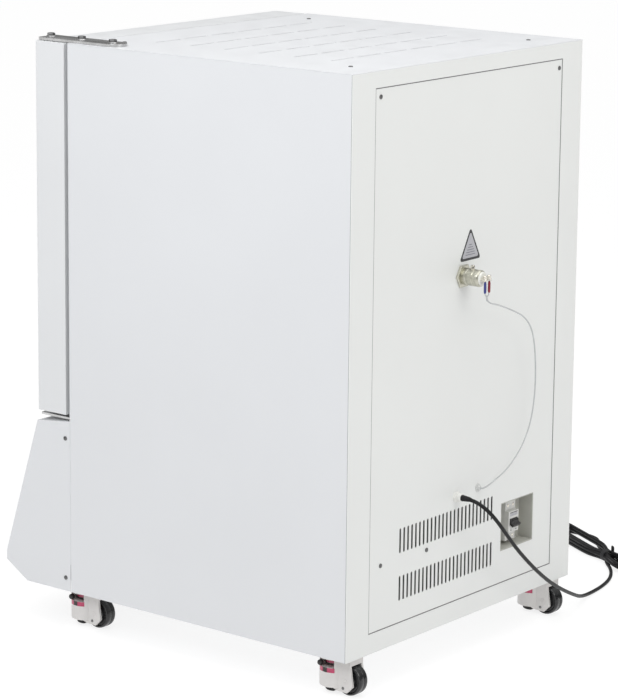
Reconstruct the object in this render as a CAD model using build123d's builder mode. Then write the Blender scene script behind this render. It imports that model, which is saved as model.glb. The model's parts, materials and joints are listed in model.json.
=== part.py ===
"""Laboratory incubator: a free-standing sheet-steel cabinet on four levelling casters.

Millimetres, +Z up, floor at Z = 0. +X is the hinge side, -Y is the door side and +Y the rear.
The origin is on the floor, under the middle of the cabinet's own box (mains lead left aside).
"""

import os
from math import atan2, cos, pi, radians, sin, tan

from build123d import *

os.makedirs("parts", exist_ok=True)

# ---------------------------------------------------------------- driving dimensions
# Cabinet shell
width = 780.0  # across the two side panels
depth = 730.0  # front frame to rear frame
height = 1155.0  # lower edge of the side panels to the top cover
ground = 78.0  # floor to the lower edge of the side panels
sheet = 1.5  # painted steel sheet
rear_margin_side = 72.0  # rear frame, beside the rear panel
rear_margin_top = 33.0
rear_margin_bottom = 41.0
rear_return = 14.0  # depth of the rear frame's inner return
panel_gap = 1.2  # dark line round the rear panel

# Base frame
tube = 30.0  # square steel tube
tube_wall = 2.0
frame_rise = 27.0  # lower edge of the side panels to the underside of the tube
frame_nose = 45.0  # how far the base frame runs forward, under the console
deck = 2.0  # machine deck on the base frame

# Chamber
side_space = 100.0  # cabinet's side to the chamber
back_space = 90.0  # chamber's back to the rear frame
roof_space = 67.0  # chamber's ceiling to the top cover
chamber_floor = 448.0  # lower edge of the side panels to the chamber floor
liner = 1.0
liner_flange = 12.0
insulation_wall = 55.0
shelf_count = 3
shelf_pitch = 165.0
shelf_thick = 6.0
rail_width = 20.0
rail_thick = 8.0
duct_depth = 58.0
fan_rise = 470.0  # chamber floor to the fan's axis
fan_radius = 90.0

# Door
door_thick = 82.0
door_gap = 10.0  # between the door and the front frame, filled by the gasket
door_rise = 380.0  # lower edge of the side panels to the lower edge of the door
door_clear = 1.0  # under the top hinge plate
door_corner = 8.0
gasket_width = 16.0
gasket_inset = 35.0
gasket_lift = 0.3  # between the gasket's lip and the front frame
hinge_inset = 33.0  # door's side to the hinge pin
hinge_reach = 75.0  # front frame to the hinge pin
hinge_plate = 6.0
hinge_plate_width = 50.0
hinge_plate_front = 87.0  # front frame to the plate's front end
hinge_plate_rear = 125.0  # front frame to the plate's rear end
pin_radius = 5.0
running = 0.05  # radial clearance of pins, axles and spigots
bracket = 5.0
handle_length = 300.0
handle_radius = 9.0
handle_stand = 36.0

# Console at the foot of the front
console_top = 367.0  # all measured up from the lower edge of the side panels
console_brow = 357.0
console_brow_reach = 92.0
console_nose_high = 57.0
console_nose_low = 37.0
console_nose_reach = 185.0
console_chamfer_reach = 125.0
panel_width = 320.0
panel_tall = 150.0
panel_thick = 8.0
window_width = 120.0
window_tall = 60.0
key_width = 22.0
key_tall = 14.0
key_slack = 0.3
key_travel = 1.5
rocker_width = 16.0
rocker_tall = 26.0

# Rear panel
vent_count = 25
vent_pitch = 13.1
vent_slot = 6.0
vent_tall = 51.0
vent_x = 59.0
vent_rows = (112.5, 210.5)  # centres, up from the lower edge of the side panels
recess_x = -191.0
recess_z = 161.5
recess_width = 118.0
recess_tall = 103.0
recess_depth = 35.0
breaker_width = 36.0
breaker_tall = 84.0
toggle_radius = 7.0
gland_x = 30.0
gland_z = 262.0
grommet_x = -46.0
grommet_z = 265.0
probe_x = 20.0
probe_z = 716.0
probe_radius = 17.0
probe_reach = 62.0

# Top cover
louvre_rows = 6
louvre_pitch = 90.0
louvre_length = 520.0
louvre_slot = 4.5
louvre_y = -20.0
top_screw_side = 90.0  # cabinet's side to the cover's screws
top_screw_end = 75.0  # cover's front and rear edges to its screws

# Levelling casters
wheel_radius = 31.5
wheel_width = 26.0
trail = 40.0  # swivel axis to the axle
caster_inset = 46.0  # cabinet's side to the swivel axis
caster_rear = 60.0  # swivel axis ahead of the rear face
caster_front = 3.0  # swivel axis behind the front frame
barrel_radius = 32.0
cheek = 5.5
wheel_slack = 2.5
plate_size = 84.0
plate_thick = 4.0
dial_radius = 19.5
dial_low = 57.0
dial_high = 69.0
stem_radius = 5.0
foot_radius = 20.0
foot_low = 4.0
foot_high = 12.0

# Leads
cord_diameter = 8.0
sensor_lead = 3.0

# ---------------------------------------------------------------- planes worked out
half = width / 2
front = -(depth + console_nose_reach + probe_reach) / 2 + console_nose_reach
rear = front + depth
base = ground
top = base + height
inner = half - sheet
frame_low = base + frame_rise
frame_high = frame_low + tube
deck_top = frame_high + deck
pin_x = half - hinge_inset
pin_y = front - hinge_reach
door_back = front - door_gap
door_front = door_back - door_thick
door_low = base + door_rise
door_high = top - door_clear
room_low = base + chamber_floor
room_high = top - roof_space
room_back = rear - back_space
room_half = half - side_space
duct_front = room_back - duct_depth
fan_z = room_low + fan_rise
panel_face = rear - 1.0


# ---------------------------------------------------------------- small shapes
def block(x0, x1, y0, y1, z0, z1, mode=Mode.ADD):
    """A box between two corners, in the part that is being built."""
    with Locations(((x0 + x1) / 2, (y0 + y1) / 2, (z0 + z1) / 2)):
        Box(x1 - x0, y1 - y0, z1 - z0, mode=mode)


def rod(axis, centre, radius, length, mode=Mode.ADD):
    """A cylinder along X, Y or Z about its centre, in the part that is being built."""
    turn = {"X": (0, 90, 0), "Y": (90, 0, 0), "Z": (0, 0, 0)}[axis]
    with Locations(centre):
        Cylinder(radius, length, rotation=turn, mode=mode)


def save(builder, name):
    """Label a finished sub-part and write its STEP file."""
    builder.part.label = name
    export_step(builder.part, f"parts/{name}.step")


# ================================================================ shell and frame
with BuildPart() as base_frame:
    frame_front = front - frame_nose
    frame_back = rear - rear_return
    block(-inner, inner, frame_front, frame_back, frame_low, frame_high)
    block(
        -inner + tube,
        inner - tube,
        frame_front + tube,
        frame_back - tube,
        frame_low,
        frame_high,
        Mode.SUBTRACT,
    )
    for side in (-1, 1):
        pad = side * (inner - plate_size / 2)
        block(
            pad - plate_size / 2,
            pad + plate_size / 2,
            frame_front + tube,
            frame_back - tube,
            frame_low,
            frame_high,
        )
    block(-inner, inner, frame_front, frame_back, frame_high, deck_top)
save(base_frame, "base_frame")

for name, side in (("side_panel_right", 1), ("side_panel_left", -1)):
    with BuildPart() as side_panel:
        outer, flange = side * half, side * (half - 18.0)
        x0, x1 = sorted((outer, flange))
        block(x0, x1, front + sheet, rear - sheet, base, top - sheet)
        x0, x1 = sorted((side * inner, flange - side))
        block(x0, x1, front + 2 * sheet, rear - 2 * sheet, base - 1, top - 2 * sheet, Mode.SUBTRACT)
        block(x0, x1, front, front + 3 * sheet, base - 1, deck_top, Mode.SUBTRACT)
    save(side_panel, name)

with BuildPart() as rear_frame:
    mouth = half - rear_margin_side
    mouth_low = base + rear_margin_bottom
    mouth_high = top - rear_margin_top
    block(-half, half, rear - sheet, rear, base, top - sheet)
    block(
        -mouth - sheet,
        mouth + sheet,
        rear - rear_return,
        rear - sheet,
        mouth_low - sheet,
        mouth_high + sheet,
    )
    block(-mouth, mouth, rear - rear_return, rear, mouth_low, mouth_high, Mode.SUBTRACT)
    fillet(
        rear_frame.edges().filter_by(Axis.Z).filter_by_position(Axis.Y, rear - 0.1, rear + 0.1)
        .sort_by(Axis.X)[:: 3],
        sheet * 0.9,
    )
save(rear_frame, "rear_frame")

with BuildPart() as rear_panel:
    back = rear - rear_return
    block(
        -mouth + panel_gap,
        mouth - panel_gap,
        back,
        panel_face,
        mouth_low + panel_gap,
        mouth_high - panel_gap,
    )
    block(
        -mouth + panel_gap + sheet,
        mouth - panel_gap - sheet,
        back - 1,
        panel_face - sheet,
        mouth_low + panel_gap + sheet,
        mouth_high - panel_gap - sheet,
        Mode.SUBTRACT,
    )
    for row in vent_rows:
        with BuildSketch(Plane.XZ.offset(-panel_face)):
            with Locations((vent_x, base + row)):
                with GridLocations(vent_pitch, 1, vent_count, 1):
                    SlotOverall(vent_tall, vent_slot, rotation=90)
        extrude(amount=sheet + 1, both=True, mode=Mode.SUBTRACT)
    recess_low = base + recess_z - recess_tall / 2
    recess_high = base + recess_z + recess_tall / 2
    recess_left = recess_x - recess_width / 2
    recess_right = recess_x + recess_width / 2
    block(recess_left, recess_right, back, rear, recess_low, recess_high, Mode.SUBTRACT)
    rod("Y", (gland_x, rear, base + gland_z), 8.0, 40, Mode.SUBTRACT)
    rod("Y", (grommet_x, rear, base + grommet_z), 6.0, 40, Mode.SUBTRACT)
    rod("Y", (probe_x, rear, base + probe_z), 7.0, 40, Mode.SUBTRACT)
save(rear_panel, "rear_panel")

with BuildPart() as top_cover:
    block(-half, half, front, rear, top - sheet, top)
    with BuildSketch(Plane.XY.offset(top)):
        with Locations((0, front + depth / 2 + louvre_y)):
            with GridLocations(louvre_length / 6, louvre_pitch, 6, louvre_rows):
                SlotOverall(louvre_length / 6 - 12, louvre_slot)
    extrude(amount=sheet + 1, both=True, mode=Mode.SUBTRACT)
save(top_cover, "top_cover")

with BuildPart() as front_frame:
    block(-half, half, front, front + sheet, base, top - sheet)
    block(
        -room_half - liner,
        room_half + liner,
        front - 1,
        front + sheet + 1,
        room_low - liner,
        room_high + liner,
        Mode.SUBTRACT,
    )
    block(
        -half + 60,
        half - 60,
        front - 1,
        front + sheet + 1,
        deck_top + 20,
        base + console_top - 60,
        Mode.SUBTRACT,
    )
    block(-half - 1, half + 1, front - 1, front + sheet + 1, base - 1, deck_top, Mode.SUBTRACT)
save(front_frame, "front_frame")

# ================================================================ chamber
with BuildPart() as chamber_liner:
    block(
        -room_half - liner,
        room_half + liner,
        front,
        room_back + liner,
        room_low - liner,
        room_high + liner,
    )
    block(
        -room_half - liner_flange,
        room_half + liner_flange,
        front - liner,
        front,
        room_low - liner_flange,
        room_high + liner_flange,
    )
    block(-room_half, room_half, front - 2, room_back, room_low, room_high, Mode.SUBTRACT)
    rod("Y", (0, room_back, fan_z), 12.0, 20, Mode.SUBTRACT)
    rod("Y", (probe_x, room_back, base + probe_z), 4.5, 20, Mode.SUBTRACT)
save(chamber_liner, "chamber_liner")

motor_radius = 45.0
motor_length = 62.0
with BuildPart() as insulation:
    wall = room_half + liner + insulation_wall
    foam_back = room_back + liner + insulation_wall
    foam_low = room_low - liner - insulation_wall
    foam_high = room_high + liner + insulation_wall
    block(-wall, wall, front + sheet, foam_back, foam_low, foam_high)
    block(
        -room_half - liner,
        room_half + liner,
        front,
        room_back + liner,
        room_low - liner,
        room_high + liner,
        Mode.SUBTRACT,
    )
    rod("Y", (0, foam_back, fan_z), motor_radius + 4, 4 * insulation_wall, Mode.SUBTRACT)
    rod("Y", (probe_x, foam_back, base + probe_z), 7.0, 4 * insulation_wall, Mode.SUBTRACT)
save(insulation, "insulation")

rail_high = room_high - 60
with BuildPart() as shelf_rails:
    for side in (-1, 1):
        for rail_y in (front + 90, duct_front - 60):
            x0, x1 = sorted((side * room_half, side * (room_half - rail_thick)))
            block(x0, x1, rail_y, rail_y + rail_width, room_low, rail_high)
            for step in range(1, 16):
                slot_z = room_low + step * 35.0
                x2, x3 = sorted((side * (room_half - rail_thick - 1), side * (room_half - 3)))
                block(x2, x3, rail_y + 6, rail_y + rail_width - 6, slot_z, slot_z + 8, Mode.SUBTRACT)
save(shelf_rails, "shelf_rails")

shelf_half = room_half - rail_thick - 2
shelf_front = front + 20
shelf_back = duct_front - 12
with BuildPart() as shelves:
    for level in range(1, shelf_count + 1):
        shelf_z = room_low + level * shelf_pitch
        block(-shelf_half, shelf_half, shelf_front, shelf_back, shelf_z, shelf_z + shelf_thick)
        block(
            -shelf_half + 3,
            shelf_half - 3,
            shelf_front + 3,
            shelf_back - 3,
            shelf_z + 1.5,
            shelf_z + shelf_thick + 1,
            Mode.SUBTRACT,
        )
        with BuildSketch(Plane.XY.offset(shelf_z)):
            with Locations((0, (shelf_front + shelf_back) / 2)):
                with GridLocations(104, 44, 5, 10):
                    SlotOverall(88, 22)
        extrude(amount=3, both=True, mode=Mode.SUBTRACT)
save(shelves, "shelves")

duct_half = room_half - 40
with BuildPart() as fan_duct:
    duct_low = room_low + 20
    duct_high = room_high - 12
    block(-duct_half, duct_half, duct_front, room_back, duct_low, duct_high)
    block(
        -duct_half + sheet,
        duct_half - sheet,
        duct_front + sheet,
        room_back + 1,
        duct_low + sheet,
        duct_high - sheet,
        Mode.SUBTRACT,
    )
    with BuildSketch(Plane.XZ.offset(-duct_front)):
        with Locations((0, fan_z)):
            for ring, count in ((30, 6), (52, 12), (74, 18)):
                with PolarLocations(ring, count):
                    Circle(6.5)
        with Locations((0, duct_low + 60)):
            with GridLocations(28, 30, 15, 2):
                SlotOverall(18, 8, rotation=90)
    extrude(amount=sheet + 1, both=True, mode=Mode.SUBTRACT)
save(fan_duct, "fan_duct")

fan_y = room_back - 26
shaft_radius = 4.0
with BuildPart() as circulation_fan:
    rod("Y", (0, fan_y, fan_z), 16, 22)
    rod("Y", (0, fan_y + 9, fan_z), fan_radius - 4, 2)
    for blade in range(12):
        with Locations(Location((0, fan_y, fan_z), (0, blade * 30.0, 0))):
            with Locations(Location((58, 0, 0), (0, 0, 12))):
                Box(52, 18, 1.5)
    rod("Y", (0, room_back + 12, fan_z), shaft_radius, 60)
save(circulation_fan, "circulation_fan")

with BuildPart() as fan_motor:
    motor_y = room_back + liner
    rod("Y", (0, motor_y + motor_length / 2, fan_z), motor_radius, motor_length)
    rod("Y", (0, motor_y + 20, fan_z), shaft_radius + running, 80, Mode.SUBTRACT)
save(fan_motor, "fan_motor")

with BuildPart() as heater_element:
    heater_ring = fan_radius + 22
    with Locations((0, fan_y, fan_z)):
        Torus(heater_ring, 4, rotation=(90, 0, 0))
    for side in (-1, 1):
        rod("Y", (side * 14, (fan_y + room_back) / 2, fan_z - heater_ring + 1), 4, room_back - fan_y)
save(heater_element, "heater_element")

coil_low = duct_low + 90
with BuildPart() as evaporator_coil:
    for fin in range(19):
        fin_x = -144 + fin * 16.0
        block(fin_x - 0.6, fin_x + 0.6, duct_front + 10, room_back, coil_low, coil_low + 140)
    for pipe_z in (coil_low + 28, coil_low + 70, coil_low + 112):
        rod("X", (0, duct_front + 32, pipe_z), 5, 320)
save(evaporator_coil, "evaporator_coil")

# ================================================================ machinery bay
compressor_x = -190.0
compressor_y = front + 250.0
with BuildPart() as compressor:
    for dx in (-70, 70):
        for dy in (-55, 55):
            rod("Z", (compressor_x + dx, compressor_y + dy, deck_top + 8), 11, 16)
    block(
        compressor_x - 90,
        compressor_x + 90,
        compressor_y - 75,
        compressor_y + 75,
        deck_top + 16,
        deck_top + 19,
    )
    with Locations((compressor_x, compressor_y, deck_top + 19 + 85)):
        Cylinder(68, 170)
    fillet(compressor.faces().sort_by(Axis.Z)[-1].edges(), 32)
    rod("X", (compressor_x + 80, compressor_y, deck_top + 120), 5, 40)
save(compressor, "compressor")

coil_front = rear - 78
coil_back = rear - 40
shroud_front = rear - 112
bay_fan_y = rear - 94
bay_fan_z = deck_top + 115
bay_fan_radius = 92.0
coil_half = 140.0
with BuildPart() as condenser_coil:
    coil_high = deck_top + 230
    shroud_mid = (shroud_front + coil_front) / 2
    block(vent_x - 112, vent_x + 112, shroud_front, coil_front, deck_top, coil_high)
    rod("Y", (vent_x, shroud_mid, bay_fan_z), bay_fan_radius + 5, 60, Mode.SUBTRACT)
    for fin in range(20):
        fin_x = vent_x - coil_half + 5 + fin * (2 * coil_half - 10) / 19
        block(fin_x - 0.8, fin_x + 0.8, coil_front - 1, coil_back, deck_top + 1, coil_high - 1)
    for row in range(6):
        rod("X", (vent_x, coil_front + 19, deck_top + 20 + row * 38), 5, 2 * coil_half)
    block(vent_x - 8, vent_x + 8, shroud_front - 4, shroud_front + 1, deck_top + 2, coil_high - 2)
    rod("Y", (vent_x, shroud_front - 27, bay_fan_z), 38, 50)
    rod("Y", (vent_x, shroud_front - 20, bay_fan_z), shaft_radius + running, 70, Mode.SUBTRACT)
save(condenser_coil, "condenser_coil")

with BuildPart() as condenser_fan:
    rod("Y", (vent_x, bay_fan_y, bay_fan_z), 24, 18)
    for blade in range(5):
        with Locations(Location((vent_x, bay_fan_y, bay_fan_z), (0, blade * 72.0, 0))):
            with Locations(Location((55, 0, 0), (25, 0, 0))):
                Box(66, 3, 30)
    rod("Y", (vent_x, bay_fan_y - 25, bay_fan_z), shaft_radius, 50)
save(condenser_fan, "condenser_fan")

with BuildPart() as electronics_tray:
    tray_x = 230.0
    tray_y = front + 270.0
    block(tray_x - 90, tray_x + 90, tray_y - 150, tray_y + 150, deck_top, deck_top + 2)
    block(tray_x + 88, tray_x + 90, tray_y - 150, tray_y + 150, deck_top, deck_top + 150)
    block(tray_x - 60, tray_x + 20, tray_y - 120, tray_y - 40, deck_top + 2, deck_top + 72)
    block(tray_x - 70, tray_x + 50, tray_y + 10, tray_y + 120, deck_top + 2, deck_top + 47)
    block(tray_x + 50, tray_x + 88, tray_y - 120, tray_y + 120, deck_top + 70, deck_top + 130)
save(electronics_tray, "electronics_tray")

# ================================================================ console at the foot of the front
with BuildPart() as console_cover:
    with BuildSketch(Plane.YZ):
        with BuildLine():
            Polyline(
                (front, base + console_top),
                (front - console_brow_reach, base + console_brow),
                (front - console_nose_reach, base + console_nose_high),
                (front - console_nose_reach, base + console_nose_low),
                (front - console_chamfer_reach, base),
                (front, base),
                close=True,
            )
        make_face()
    extrude(amount=half, both=True)
    offset(
        amount=-sheet,
        openings=[console_cover.faces().sort_by(Axis.Y)[-1], console_cover.faces().sort_by(Axis.Z)[0]],
    )
    slope = atan2(console_nose_reach - console_brow_reach, console_brow - console_nose_high)
    panel_plane = Plane(
        origin=(
            0,
            front - (console_brow_reach + console_nose_reach) / 2,
            base + (console_brow + console_nose_high) / 2,
        ),
        x_dir=(1, 0, 0),
        z_dir=(0, -cos(slope), sin(slope)),
    )
    with BuildSketch(panel_plane):
        Rectangle(panel_width - 30, panel_tall - 30)
    extrude(amount=2 * sheet, both=True, mode=Mode.SUBTRACT)
save(console_cover, "console_cover")

keys = {"key_down": -70.0, "key_up": -36.0, "key_set": -2.0}
key_row = -38.0
window_x = -36.0
window_row = 22.0
rocker_x = 100.0
rocker_row = -8.0
with BuildPart() as control_panel:
    with BuildSketch(panel_plane):
        RectangleRounded(panel_width, panel_tall, 6)
    extrude(amount=panel_thick)
    with BuildSketch(panel_plane.offset(panel_thick)):
        with Locations((window_x, window_row)):
            Rectangle(window_width, window_tall)
    extrude(amount=-2, mode=Mode.SUBTRACT)
    with BuildSketch(panel_plane):
        for key_x in keys.values():
            with Locations((key_x, key_row)):
                Rectangle(key_width, key_tall)
        with Locations((rocker_x, rocker_row)):
            Rectangle(rocker_width, rocker_tall)
    extrude(amount=panel_thick, mode=Mode.SUBTRACT)
save(control_panel, "control_panel")

for name, key_x in keys.items():
    with BuildPart() as key:
        with BuildSketch(panel_plane.offset(-1)):
            with Locations((key_x, key_row)):
                RectangleRounded(key_width - 2 * key_slack, key_tall - 2 * key_slack, 1.5)
        extrude(amount=panel_thick + 3)
    save(key, name)

with BuildPart() as power_switch:
    with BuildSketch(panel_plane.offset(-1)):
        with Locations((rocker_x, rocker_row)):
            Rectangle(rocker_width - 2 * key_slack, rocker_tall - 2)
    extrude(amount=panel_thick + 3)
save(power_switch, "power_switch")

# ================================================================ rear fittings
recess_floor = panel_face - recess_depth
tray_wall = 2.0
with BuildPart() as breaker_recess:
    block(recess_left, recess_right, recess_floor - tray_wall, panel_face, recess_low, recess_high)
    block(
        recess_left + tray_wall,
        recess_right - tray_wall,
        recess_floor,
        panel_face + 1,
        recess_low + tray_wall,
        recess_high - tray_wall,
        Mode.SUBTRACT,
    )
save(breaker_recess, "breaker_recess")

breaker_z = base + recess_z
breaker_shoulder = recess_floor + 18.0
breaker_face = recess_floor + 27.0
with BuildPart() as breaker_body:
    x0, x1 = recess_x - breaker_width / 2, recess_x + breaker_width / 2
    low, high = breaker_z - breaker_tall / 2, breaker_z + breaker_tall / 2
    block(x0, x1, recess_floor, breaker_shoulder, low, high)
    block(x0, x1, breaker_shoulder, breaker_face, breaker_z - 22.5, breaker_z + 22.5)
    toggle_y = breaker_face - 3
    rod("X", (recess_x, toggle_y, breaker_z), toggle_radius + 0.4, breaker_width - 8, Mode.SUBTRACT)
save(breaker_body, "breaker_body")

with BuildPart() as breaker_toggle:
    rod("X", (recess_x, toggle_y, breaker_z), toggle_radius, breaker_width - 9)
    with Locations(Location((recess_x, toggle_y, breaker_z), (-35, 0, 0))):
        Box(breaker_width - 9, 14, 6, align=(Align.CENTER, Align.MIN, Align.CENTER))
save(breaker_toggle, "breaker_toggle")

gland_end = rear + 15.0
grommet_end = rear + 6.0
with BuildPart() as cable_glands:
    rod("Y", (gland_x, (panel_face + gland_end) / 2, base + gland_z), 7.5, gland_end - panel_face)
    rod("Y", (gland_x, panel_face + 3, base + gland_z), 11.5, 6)
    rod("Y", (gland_x, panel_face - 8, base + gland_z), 8.0, 16)
    rod("Y", (grommet_x, (panel_face + grommet_end) / 2, base + grommet_z), 5.0, grommet_end - panel_face)
    rod("Y", (grommet_x, panel_face + 1.2, base + grommet_z), 8.5, 2.4)
    rod("Y", (grommet_x, panel_face - 5, base + grommet_z), 6.0, 10)
save(cable_glands, "cable_glands")

head_z = base + probe_z
head_face = rear + 46.0
post_y = rear + 58.0
with BuildPart() as probe_head:
    rod("Y", (probe_x, panel_face + 2.5, head_z), probe_radius + 5, 5)
    rod("Y", (probe_x, (panel_face + head_face) / 2, head_z), probe_radius, head_face - panel_face)
    rod("Y", (probe_x, head_face + 2, head_z), probe_radius - 3, 4)
    rod("Z", (probe_x, rear + 22, head_z + probe_radius + 3), 4.5, 12)
    rod("Y", (probe_x, (room_back - 20 + panel_face) / 2, head_z), 4.0, panel_face - room_back + 20)
    for side in (-1, 1):
        post_x = probe_x + 7 * side
        post_middle = (head_face + rear + probe_reach) / 2
        rod("Y", (post_x, post_middle, head_z), 3, rear + probe_reach - head_face)
        rod("Z", (post_x, post_y, head_z - 14), 2.6, 26)
    block(probe_x - 9.6, probe_x + 9.6, post_y - 2.6, post_y + 2.6, head_z - 32, head_z - 27)
save(probe_head, "probe_head")

rear_screws = (
    (mouth - 17, mouth_high - 18),
    (12 - mouth, mouth_high - 19),
    (mouth - 37, base + 174),
    (vent_x + 69, base + 172),
)
console_screws = ((front - 12, base + 330), (front - 13, base + 29))
screw_radius = 4.5
screw_head = 2.4
with BuildPart() as panel_screws:
    for screw_x, screw_z in rear_screws:
        rod("Y", (screw_x, panel_face + screw_head / 2, screw_z), screw_radius, screw_head)
    for screw_y, screw_z in console_screws:
        for side in (-1, 1):
            rod("X", (side * (half + 1), screw_y, screw_z), screw_radius, 2)
    with Locations((0, front + depth / 2, top + screw_head / 2)):
        with GridLocations(2 * (half - top_screw_side), depth - 2 * top_screw_end, 2, 2):
            Cylinder(screw_radius, screw_head)
save(panel_screws, "panel_screws")

# ================================================================ door and its hinges
with BuildPart() as hinge_plate_upper:
    with BuildSketch(Plane.XY.offset(top)):
        round_end = front + hinge_plate_rear - hinge_plate_width / 2
        with Locations((pin_x, (front - hinge_plate_front + round_end) / 2)):
            Rectangle(hinge_plate_width, round_end - front + hinge_plate_front)
        with Locations((pin_x, round_end)):
            Circle(hinge_plate_width / 2)
    extrude(amount=hinge_plate)
    for bolt_y in (pin_y, front + 10, front + 95):
        with BuildSketch(Plane.XY.offset(top + hinge_plate)):
            with Locations((pin_x, bolt_y)):
                RegularPolygon(8, 6)
        extrude(amount=5.5)
    rod("Z", (pin_x, pin_y, top - 8), pin_radius, 16)
save(hinge_plate_upper, "hinge_plate_upper")

bracket_low = door_low - 11
with BuildPart() as hinge_bracket_lower:
    block(
        pin_x - hinge_plate_width / 2,
        pin_x + hinge_plate_width / 2,
        front - hinge_plate_front,
        front,
        bracket_low,
        bracket_low + bracket,
    )
    boss_low, boss_high = bracket_low + bracket - 0.1, door_low - 0.1
    rod("Z", (pin_x, pin_y, (boss_low + boss_high) / 2), pin_radius + 4, boss_high - boss_low)
    rod("Z", (pin_x, pin_y, (bracket_low + bracket + door_low + 14) / 2), pin_radius, 20)
save(hinge_bracket_lower, "hinge_bracket_lower")

lip = 18.0
with BuildPart() as door_shell:
    for margin, mode in ((0, Mode.ADD), (sheet, Mode.SUBTRACT)):
        with BuildSketch(Plane.XY.offset(door_low + margin)):
            with Locations((0, (door_front + door_back) / 2)):
                Rectangle(2 * (half - margin), door_thick - 2 * margin)
            fillet(vertices().group_by(Axis.Y)[0], door_corner - margin)
        extrude(amount=door_high - door_low - 2 * margin, mode=mode)
    block(
        -half + lip,
        half - lip,
        door_back - 2 * sheet,
        door_back + 1,
        door_low + lip,
        door_high - lip,
        Mode.SUBTRACT,
    )
    for z0, z1 in ((door_low, door_low + 20), (door_high - 20, door_high)):
        block(pin_x - 14, pin_x + 14, door_front + sheet, pin_y + 14, z0, z1)
        rod("Z", (pin_x, pin_y, (z0 + z1) / 2), pin_radius + running, 22, Mode.SUBTRACT)
save(door_shell, "door_shell")

with BuildPart() as door_foam:
    block(
        -inner + door_corner,
        inner - door_corner,
        door_front + sheet,
        door_back - sheet,
        door_low + sheet + 20,
        door_high - sheet - 20,
    )
save(door_foam, "door_foam")

with BuildPart() as door_inner_panel:
    block(
        -half + lip,
        half - lip,
        door_back - sheet,
        door_back,
        door_low + lip,
        door_high - lip,
    )
save(door_inner_panel, "door_inner_panel")

with BuildPart() as door_gasket:
    gasket_high = door_high - gasket_inset
    gasket_low = door_low + gasket_inset
    gasket_half = half - gasket_inset
    block(-gasket_half, gasket_half, door_back, front - gasket_lift, gasket_low, gasket_high)
    block(
        -gasket_half + gasket_width,
        gasket_half - gasket_width,
        door_back - 1,
        front + 1,
        gasket_low + gasket_width,
        gasket_high - gasket_width,
        Mode.SUBTRACT,
    )
save(door_gasket, "door_gasket")

handle_x = -half + 55
handle_z = (door_low + door_high) / 2
with BuildPart() as door_handle:
    rod("Z", (handle_x, door_front - handle_stand, handle_z), handle_radius, handle_length)
    for side in (-1, 1):
        post_z = handle_z + side * (handle_length / 2 - 30)
        rod("Y", (handle_x, door_front - handle_stand / 2, post_z), 7, handle_stand)
save(door_handle, "door_handle")

# ================================================================ levelling casters
caster_x = half - caster_inset
stations = {
    "front_right": (caster_x, front + caster_front),
    "front_left": (-caster_x, front + caster_front),
    "rear_right": (caster_x, rear - caster_rear),
    "rear_left": (-caster_x, rear - caster_rear),
}
barrel_low = foot_high + 3
barrel_high = frame_low - plate_thick - 1.1
spigot_radius = 10.0
spigot_low = barrel_high - 12
with BuildPart() as caster_plates:
    for cx, cy in stations.values():
        with Locations((cx, cy, frame_low - plate_thick / 2)):
            Box(plate_size, plate_size, plate_thick)
        rod("Z", (cx, cy, frame_low - plate_thick - 0.5), spigot_radius + 6, 1.0)
        plate_low = frame_low - plate_thick
        rod("Z", (cx, cy, (spigot_low + plate_low) / 2), spigot_radius, plate_low - spigot_low)
save(caster_plates, "caster_plates")

for station, (cx, cy) in stations.items():
    axle_y = cy + trail
    cheek_half = wheel_width / 2 + wheel_slack + cheek
    with BuildPart() as fork:
        rod("Z", (cx, cy, (barrel_low + barrel_high) / 2), barrel_radius, barrel_high - barrel_low)
        with BuildSketch(Plane.YZ.offset(cx)):
            with BuildLine():
                Polyline(
                    (cy, barrel_low),
                    (cy + 20, 9),
                    (axle_y + 4, 8),
                    (axle_y + 18, 22),
                    (axle_y + 12, 61),
                    (axle_y + 12, 76),
                    (cy, 76),
                    close=True,
                )
            make_face()
        extrude(amount=cheek_half, both=True)
        room = wheel_width / 2 + wheel_slack
        rod("X", (cx, axle_y, wheel_radius), wheel_radius + wheel_slack, 2 * room, Mode.SUBTRACT)
        block(cx - room, cx + room, axle_y, axle_y + 60, 0, 61, Mode.SUBTRACT)
        block(cx - room, cx + room, cy + 8, axle_y + 60, 0, wheel_radius, Mode.SUBTRACT)
        dial_middle = (dial_low + dial_high) / 2
        rod("Z", (cx, cy, dial_middle), dial_radius + 1.5, dial_high - dial_low + 2, Mode.SUBTRACT)
        block(cx - 40, cx + 40, cy - 19, cy + 17, dial_low - 2, dial_high + 2, Mode.SUBTRACT)
        rod("Z", (cx, cy, 50), stem_radius + 0.1, 76, Mode.SUBTRACT)
        rod("Z", (cx, cy, barrel_high - 6), spigot_radius + running, 12.5, Mode.SUBTRACT)
        rod("X", (cx, axle_y, wheel_radius), 4.0, 2 * cheek_half)
    save(fork, f"caster_fork_{station}")

    with BuildPart() as wheel:
        rod("X", (cx, axle_y, wheel_radius), wheel_radius, wheel_width)
        fillet(wheel.edges().filter_by(GeomType.CIRCLE), 3)
        rod("X", (cx, axle_y, wheel_radius), 4.0 + running, wheel_width + 2, Mode.SUBTRACT)
    save(wheel, f"caster_wheel_{station}")

    with BuildPart() as dial:
        rod("Z", (cx, cy, (dial_low + dial_high) / 2), dial_radius, dial_high - dial_low - 0.4)
        rod("Z", (cx, cy, (dial_low + dial_high) / 2), stem_radius + running, 30, Mode.SUBTRACT)
    save(dial, f"caster_dial_{station}")

    with BuildPart() as foot:
        rod("Z", (cx, cy, (foot_low + foot_high) / 2), foot_radius, foot_high - foot_low)
        block(cx - 30, cx + 30, cy + 9, cy + 40, 0, 30, Mode.SUBTRACT)
        rod("Z", (cx, cy, (foot_low + spigot_low - 2) / 2), stem_radius, spigot_low - 2 - foot_low)
    save(foot, f"caster_foot_{station}")

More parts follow.
